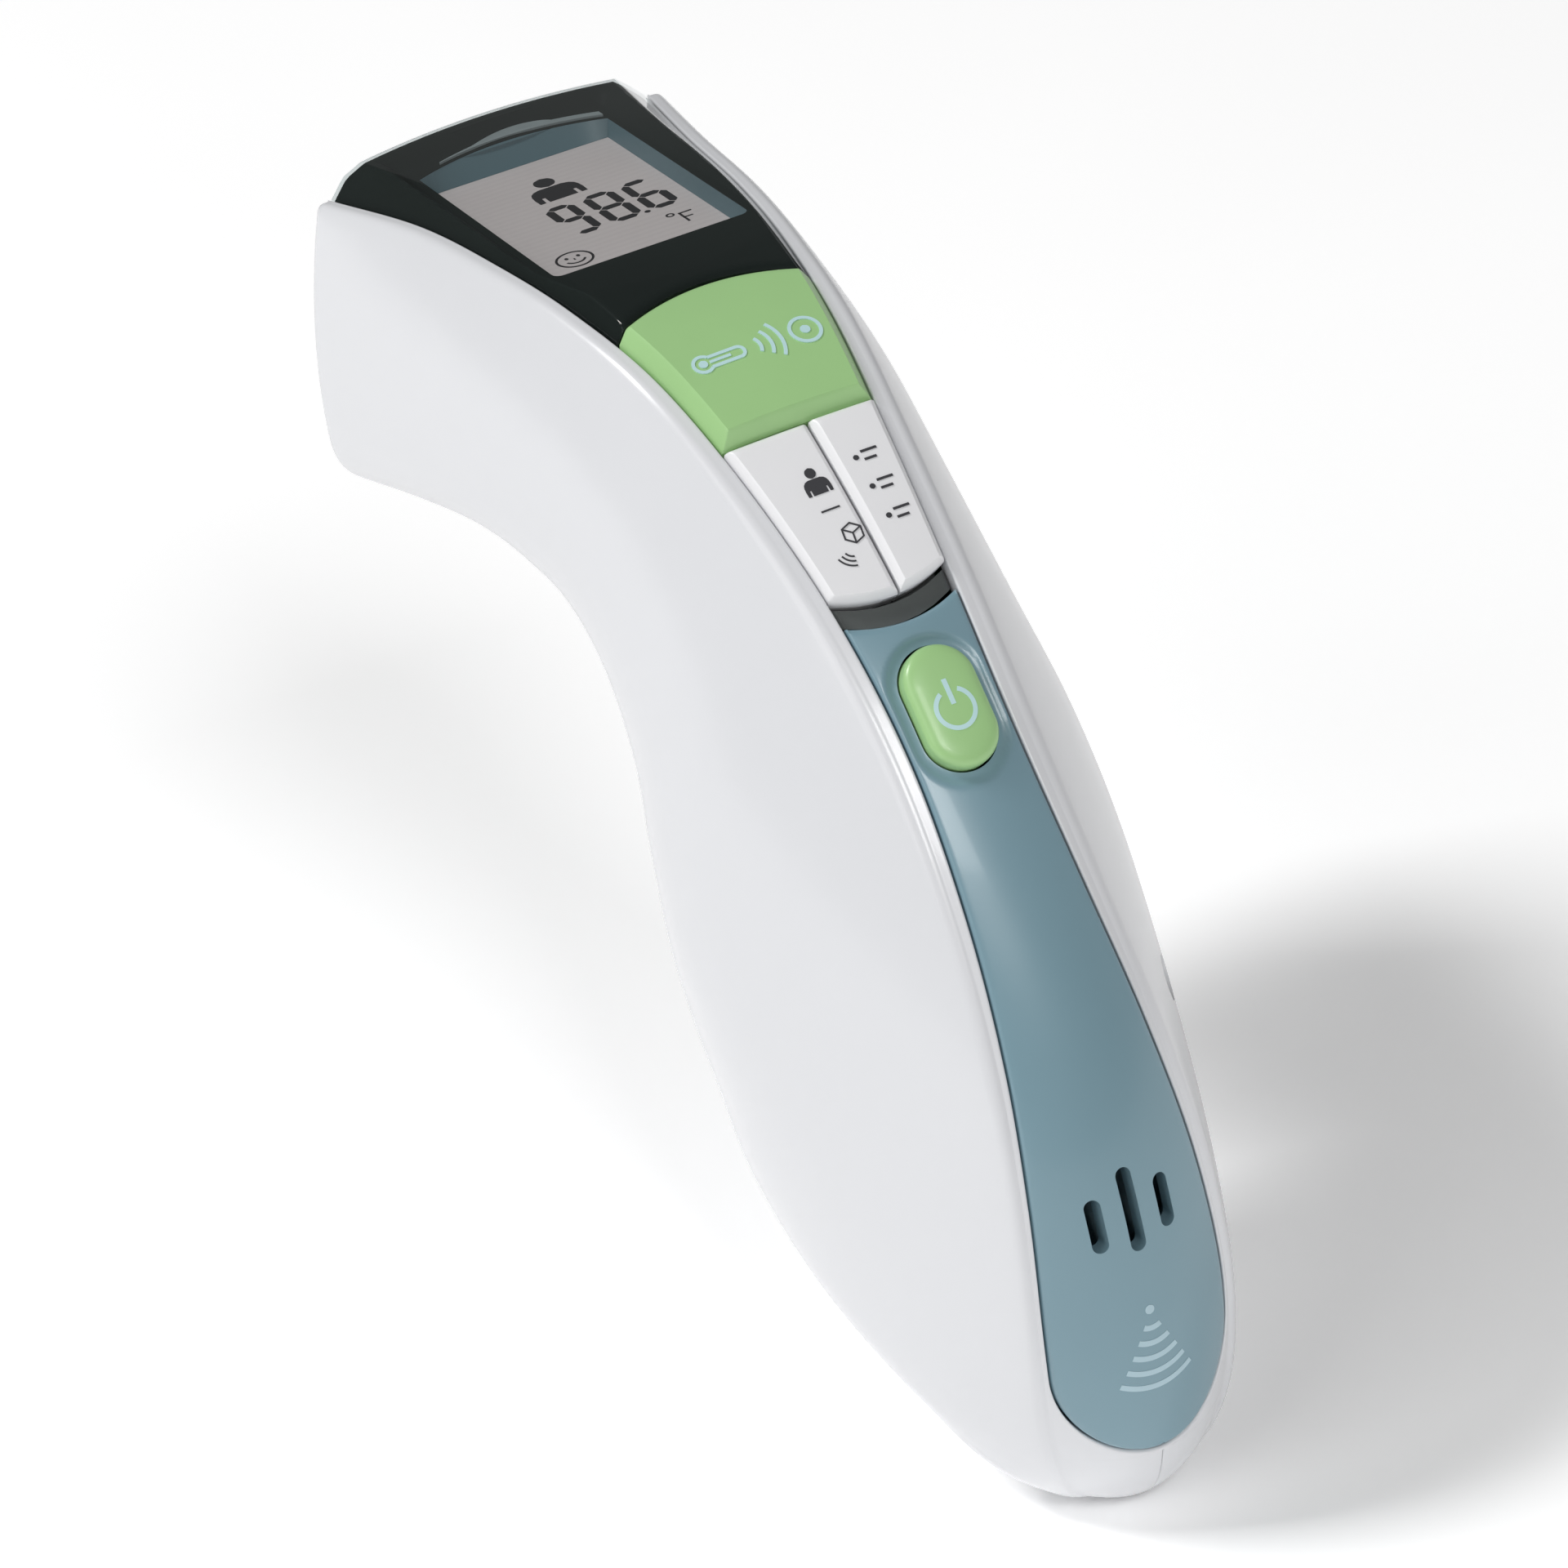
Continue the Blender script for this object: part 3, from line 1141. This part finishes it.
# ---------------------------------------------------------------------------
# printed marks: thin closed solids that follow the surface they sit on
# ---------------------------------------------------------------------------
class Art:
    """flat drawing in mm; the drawing methods return the drawing itself"""

    def __init__(self):
        self.points, self.faces = [], []

    def strip(self, first, second):
        """band of quads between two rows of points"""
        k, n = len(self.points), len(first)
        self.points += list(first) + list(second)
        self.faces += [[k + i, k + i + 1, k + n + i + 1, k + n + i] for i in range(n - 1)]
        return self

    def line(self, start, end, width, step=0.5):
        start, end = np.array(start, float), np.array(end, float)
        span = end - start
        length = np.linalg.norm(span)
        side = np.array([-span[1], span[0]]) / length * width / 2
        n = max(int(length / step), 1)
        centres = [start + span * i / n for i in range(n + 1)]
        return self.strip([c - side for c in centres], [c + side for c in centres])

    def path(self, points, width, closed=False):
        """mitred band along points"""
        points = [np.array(p, float) for p in points]
        n = len(points)
        steps = [points[(i + 1) % n] - points[i] for i in range(n)]
        steps = [s / np.linalg.norm(s) for s in steps]
        first, second = [], []
        for i, point in enumerate(points):
            arriving = steps[i - 1] if closed or i > 0 else steps[0]
            leaving = steps[i] if closed or i < n - 1 else steps[i - 1]
            tangent = arriving + leaving
            tangent /= np.linalg.norm(tangent)
            mitre = np.array([-tangent[1], tangent[0]])
            square = mitre @ np.array([-arriving[1], arriving[0]])
            reach = width / 2 / max(square, 0.35)
            first.append(point - mitre * reach)
            second.append(point + mitre * reach)
        if closed:
            first.append(first[0])
            second.append(second[0])
        return self.strip(first, second)

    def arc(self, x, y, radius, width, start, end, steps):
        """band along a circle, start and end in degrees"""
        angles = np.radians(np.linspace(start, end, steps + 1))
        return self.strip(*([(x + r * math.cos(a), y + r * math.sin(a)) for a in angles]
                            for r in (radius - width / 2, radius + width / 2)))

    def disc(self, x, y, radius, radius_y=None, bands=8):
        radius_y = radius_y or radius
        edges = []
        for i in range(bands + 1):
            v = -1 + 2 * i / bands
            half = math.sqrt(max(1 - v * v, 0.0))
            edges.append([(x + radius * half * u, y + radius_y * v)
                          for u in np.linspace(-1, 1, 7)])
        for low, high in zip(edges, edges[1:]):
            self.strip(low, high)
        return self

    def bands(self, rows):
        """filled shape from rows of (y, x left, x right)"""
        lines = [[(left + (right - left) * u, y) for u in np.linspace(0, 1, 6)]
                 for y, left, right in rows]
        for upper, lower in zip(lines, lines[1:]):
            self.strip(upper, lower)
        return self

    def add(self, other):
        k = len(self.points)
        self.points += other.points
        self.faces += [[i + k for i in face] for face in other.faces]
        return self

    def moved(self, dx, dy, scale):
        result = Art()
        result.points = [(dx + scale * x, dy + scale * y) for x, y in self.points]
        result.faces = self.faces
        return result

    def solid(self, surface, up, down):
        """closed solid; surface(x, y, h) places a point h above the surface"""
        index, points, ids = {}, [], []
        for point in self.points:
            key = (round(point[0], 4), round(point[1], 4))
            if key not in index:
                index[key] = len(points)
                points.append(point)
            ids.append(index[key])
        faces = []
        for face in self.faces:
            ring = list(dict.fromkeys(ids[i] for i in face))
            if len(ring) < 3:
                continue
            area = sum(points[a][0] * points[b][1] - points[b][0] * points[a][1]
                       for a, b in zip(ring, ring[1:] + ring[:1]))
            faces.append(ring if area > 0 else ring[::-1])
        n = len(points)
        verts = [surface(x, y, h) for h in (up, -down) for x, y in points]
        edges = dict.fromkeys(pair for ring in faces for pair in zip(ring, ring[1:] + ring[:1]))
        walls = [[b, a, n + a, n + b] for a, b in edges if (b, a) not in edges]
        return verts, faces + [[n + i for i in ring[::-1]] for ring in faces] + walls


def printed(name, art, surface, material, body, up, down=0.12):
    piece(name, art.solid(surface, up, down), material, body, 30)


def strip_surface(pos, height):
    """surface for printing, y up the strip from pos; height(sec, x) is its own height"""
    arc = arc_of(pos)

    def surface(x, y, h):
        sec = section(pos_of(arc - y))
        return place(sec, x, -(height(sec, x) + h))
    return surface


def key_surface(start, end, top, crown):
    """surface of a key, from the middle of its length"""
    return strip_surface((start + end) / 2, lambda sec, x: crowned(sec, x, top, crown))


def person():
    """head and shoulders, about 1 high, centred on x"""
    art = Art().disc(0, 0.72, 0.26, radius_y=0.28)
    art.bands([(0.40, -0.30, 0.30), (0.34, -0.46, 0.46), (0.24, -0.56, 0.56),
               (0.10, -0.61, 0.61), (-0.12, -0.63, 0.63)])
    art.bands([(-0.12, -0.63, -0.45), (-0.42, -0.62, -0.47)])
    art.bands([(-0.12, -0.37, 0.37), (-0.42, -0.37, 0.37)])
    return art.bands([(-0.12, 0.45, 0.63), (-0.42, 0.47, 0.62)])


# segments lit, a at the top, then clockwise to f, g in the middle
SEGMENTS = {"9": "abcdfg", "8": "abcdefg", "6": "acdefg"}
# figure, x and y of its low left corner, width, height
FIGURES = [("9", -2.95, -27.75, 3.0, 7.7), ("8", 0.95, -27.75, 3.25, 7.7),
           ("6", 4.95, -27.7, 3.15, 7.6)]


def figure(character, x, y, width, height, thick=0.84, gap=0.09):
    """seven-segment figure with pointed segments"""
    left, right = x + thick / 2, x + width - thick / 2
    low, middle, high = y + thick / 2, y + height / 2, y + height - thick / 2
    ends = {
        "a": ((left + gap, high), (right - gap, high)),
        "b": ((right, middle + gap), (right, high - gap)),
        "c": ((right, low + gap), (right, middle - gap)),
        "d": ((left + gap, low), (right - gap, low)),
        "e": ((left, low + gap), (left, middle - gap)),
        "f": ((left, middle + gap), (left, high - gap)),
        "g": ((left + gap, middle), (right - gap, middle)),
    }
    art = Art()
    for segment in SEGMENTS[character]:
        start, end = np.array(ends[segment], float)
        along = (end - start) / np.linalg.norm(end - start)
        side = np.array([-along[1], along[0]]) * thick / 2
        first, last = start + along * (thick / 2), end - along * (thick / 2)
        body = [first, first + (last - first) / 3, first + (last - first) * 2 / 3, last]
        art.strip([start] + [c - side for c in body] + [end],
                  [start] + [c + side for c in body] + [end])
    return art


def build_lcd_marks():
    art = Art()
    for row in FIGURES:
        art.add(figure(*row))
    art.disc(4.55, -27.55, 0.3)
    # degree ring and F
    art.arc(5.72, -29.95, radius=0.34, width=0.2, start=0, end=360, steps=20)
    art.line((6.55, -30.1), (6.55, -32.45), width=0.24)
    art.line((6.45, -30.2), (7.8, -30.2), width=0.24)
    art.line((6.45, -31.3), (7.45, -31.3), width=0.22)
    art.add(person().moved(0.15, -16.9, 4.0))
    # smiling face
    art.arc(-5.35, -32.3, radius=1.72, width=0.24, start=0, end=360, steps=40)
    art.arc(-5.35, -32.2, radius=1.0, width=0.22, start=205, end=335, steps=16)
    art.disc(-5.95, -31.75, 0.18, radius_y=0.26).disc(-4.75, -31.75, 0.18, radius_y=0.26)
    art.line((-5.35, -32.1), (-5.35, -32.45), width=0.16)
    printed("lcd_marks", art, lambda x, y, h: flat(x, y, LCD_Z + h), "lcd_ink", "body",
            up=0.02, down=0.03)


def build_window_rim():
    """pale crescent along the arched end of the window, wider towards +X"""
    xs = np.linspace(-7.0, 9.9, 40)
    low = WINDOW_Y + WINDOW_ARCH * (1 - (xs / WINDOW_HALF) ** 2) + 0.5
    high = low + 0.12 + 0.85 * np.clip((xs + 7.0) / 12.0, 0, 1)
    low, middle, high = (list(zip(xs, ys)) for ys in (low, (low + high) / 2, high))
    art = Art().strip(low, middle).strip(middle, high)
    printed("window_rim", art, lambda x, y, h: flat(x, y, mask_top(x, y) + 0.12 + h),
            "window_rim", "body", up=0.1, down=0.25)


def build_measure_mark():
    """probe, spreading waves and a ringed dot"""
    x, half = -2.2, 0.62
    nose = [(x + half * math.sin(math.radians(k)), half * math.cos(math.radians(k)))
            for k in range(15, 180, 15)]
    art = Art().path([(-5.2, half), (x, half)] + nose + [(x, -half), (-5.2, -half)], width=0.34)
    art.arc(-5.9, 0, radius=0.95, width=0.34, start=42, end=318, steps=24)
    art.disc(-5.9, 0, 0.45)
    art.line((-5.2, 0), (-3.0, 0), width=0.3)
    for radius in (1.5, 2.6, 3.7):
        art.arc(-1.4, 0, radius, width=0.36, start=-34, end=34, steps=14)
    art.arc(4.9, 0, radius=1.5, width=0.36, start=0, end=360, steps=36)
    art.disc(4.9, 0, 0.5)
    surface = key_surface(LENS_END, MEASURE_END, 1.55, MEASURE_CROWN)
    printed("measure_mark", art.moved(0.4, 0.3, 0.95), surface, "print_light",
            "measure_button", up=0.04)


def build_mode_mark():
    """person, bar, and a box with waves"""
    art = Art().add(person().moved(-1.7, 2.0, 1.95))
    art.line((-2.6, -0.5), (-0.8, -0.5), width=0.17)
    x, y, radius = -0.95, -3.3, 1.0

    def box_point(k, reach):
        angle = math.radians(60 * k + 8)
        return x + reach * math.sin(angle), y + reach * math.cos(angle)

    art.path([box_point(k, radius) for k in range(6)], width=0.15, closed=True)
    for k in (1, 3, 5):
        art.line((x, y), box_point(k, radius * 0.92), width=0.14)
    for wave in (0.8, 1.25, 1.7):
        art.arc(-1.75, -4.6, wave, width=0.15, start=200, end=262, steps=10)
    surface = key_surface(MEASURE_END, WHITE_KEYS_END, MODE_TOP[0], WHITE_CROWN)
    printed("mode_mark", art, surface, "print_dark", "mode_button", up=0.03)


def build_memory_mark():
    """list of three rows, each a dot and two lines"""
    art = Art()
    for k in range(3):
        y = 3.1 - 3.1 * k
        art.disc(2.15, y, 0.27)
        art.line((2.8, y + 0.42), (4.4, y + 0.42), width=0.24)
        art.line((2.8, y - 0.42), (4.0, y - 0.42), width=0.24)
    surface = key_surface(MEASURE_END, WHITE_KEYS_END, MEMORY_TOP[0], WHITE_CROWN)
    printed("memory_mark", art.moved(0.6, 0.1, 1.0), surface, "print_dark", "memory_button",
            up=0.03)


def power_surface(x, y, h):
    insets, heights = zip(*POWER_EDGE, (POWER_KEY[1] / 2, POWER_TOP))
    top = float(np.interp(-obround_distance(x, y, *POWER_KEY), insets, heights))
    return on_strip(POWER_POS, x, y, top + h)


def build_power_mark():
    """open ring with a bar at the top"""
    art = Art().arc(0, -0.45, radius=1.78, width=0.42, start=118, end=422, steps=48)
    art.line((0, -0.05), (0, 2.3), width=0.46)
    printed("power_mark", art, power_surface, "print_light", "power_button", up=0.035)


def build_panel_mark():
    """dot and waves low on the panel"""
    x, y = -0.15, 5.0
    art = Art().disc(x, y, 0.45)
    for radius in (1.8, 3.3, 4.8, 6.3, 7.8):
        art.arc(x, y, radius, width=0.54, start=270 - 27, end=270 + 27, steps=20)
    printed("panel_mark", art, strip_surface(11.45, rise), "print_teal", "body", up=0.03)


# ---------------------------------------------------------------------------
# CAD nodes that stay, by material
# ---------------------------------------------------------------------------
CAD_NODES = {
    "lcd_cell": ["lcd_glass"],
    "reflector_film": ["lcd_reflector"],
    "circuit_board": ["display_board", "main_board", "sensor_board"],
    "stem_plastic": ["measure_stem", "mode_stem", "memory_stem", "power_stem"],
    "dark_carrier": ["key_frame"],
    "nickel_plate": ["tact_switches", "positive_plates", "negative_springs"],
    "chip_epoxy": ["processor_chip"],
    "component_metal": ["board_parts"],
    "bright_steel": ["board_screws", "thermopile", "speaker_magnet", "shell_screws"],
    "ribbon_film": ["display_ribbon", "sensor_ribbon"],
    "cell_wrap": ["cell_left", "cell_right"],
    "grey_plastic": ["battery_tray", "sensor_barrel"],
    "bezel_teal": ["nose_bezel"],
    "polished_cone": ["reflector_cone"],
    "infrared_window": ["sensor_window"],
    "teal_deep": ["speaker_gasket", "speaker_frame", "speaker_cone"],
    "wire_pair": ["battery_wires", "speaker_wires"],
}


def dress_cad_nodes():
    for material, names in CAD_NODES.items():
        for name in names:
            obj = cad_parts[name]
            obj.data.materials.clear()
            obj.data.materials.append(MATERIALS[material])
            obj.modifiers.new("weld", "WELD").merge_threshold = 1e-6


# ---------------------------------------------------------------------------
# floor, light, camera (metres)
# ---------------------------------------------------------------------------
FLOOR_HALF = 4
FLOOR_DROP = 0.0002    # below the lowest CAD point

LIGHT_TARGET = Vector((0, -0.055, -0.035))
LIGHT_REACH = 2.5      # scales the offsets
# name, offset from the target, side of the square, power in watts
LIGHTS = [
    ("key", (-0.76, -0.28, 0.58), 1.4, 10.0),
    ("front_fill", (-0.05, -0.75, 0.66), 0.7, 18.0),
    ("top", (-0.52, 0.30, 0.80), 0.6, 31.0),
    ("right_fill", (0.90, -0.20, 0.38), 2.2, 3.0),
]

CAMERA_TARGET = Vector((0, -0.0485, -0.0345))
CAMERA_BACK = Vector((-0.34202, -0.80378, 0.48679))  # from the target to the camera
CAMERA_UP = Vector((0.33522, 0.37958, 0.86229))
CAMERA_DISTANCE = 0.5236


def build_floor():
    z = cad_lo.z - FLOOR_DROP
    mesh = bpy.data.meshes.new("floor")
    corners = [(x * FLOOR_HALF, y * FLOOR_HALF, z)
               for x, y in ((-1, -1), (1, -1), (1, 1), (-1, 1))]
    mesh.from_pydata(corners, [], [(0, 1, 2, 3)])
    add_object("floor", mesh, "floor_white")


def build_world():
    """white to the camera, dim as a light"""
    world = bpy.data.worlds.new("studio")
    scene.world = world
    world.use_nodes = True
    tree = world.node_tree
    background = tree.nodes["Background"]
    background.inputs["Color"].default_value = (1.0, 1.0, 1.0, 1)
    camera_ray = node(tree, "LightPath").outputs["Is Camera Ray"]
    strength = map_range(tree, camera_ray, (0.0, 1.0), (0.15, 1.0))
    tree.links.new(strength, background.inputs["Strength"])


def build_lights():
    for name, offset, size, power in LIGHTS:
        light = bpy.data.lights.new(name, "AREA")
        light.shape = "RECTANGLE"
        light.size = light.size_y = size
        light.energy = power
        obj = bpy.data.objects.new(name, light)
        scene.collection.objects.link(obj)
        location = LIGHT_TARGET + Vector(offset) * LIGHT_REACH
        obj.location = location
        obj.rotation_mode = "QUATERNION"
        obj.rotation_quaternion = (LIGHT_TARGET - location).to_track_quat("-Z", "Y")


def build_camera():
    camera = bpy.data.cameras.new("camera")
    obj = bpy.data.objects.new("camera", camera)
    scene.collection.objects.link(obj)
    back = CAMERA_BACK.normalized()
    up = (CAMERA_UP - CAMERA_UP.dot(back) * back).normalized()
    right = up.cross(back).normalized()
    location = CAMERA_TARGET + back * CAMERA_DISTANCE
    rows = [list(row) for row in zip(right, up, back, location)]
    obj.matrix_world = Matrix(rows + [[0, 0, 0, 1]])
    camera.sensor_width = 36
    camera.lens = 127.5
    camera.clip_start = 0.01
    camera.clip_end = 20
    scene.camera = obj
    scene.view_settings.view_transform = "Standard"
    scene.view_settings.look = "None"


build_shells()
build_door()
build_panel()
build_keys()
build_lens()
build_lens_frame()
build_power_key()
build_lcd_marks()
build_window_rim()
build_measure_mark()
build_mode_mark()
build_memory_mark()
build_power_mark()
build_panel_mark()
dress_cad_nodes()
build_floor()
build_world()
build_lights()
build_camera()
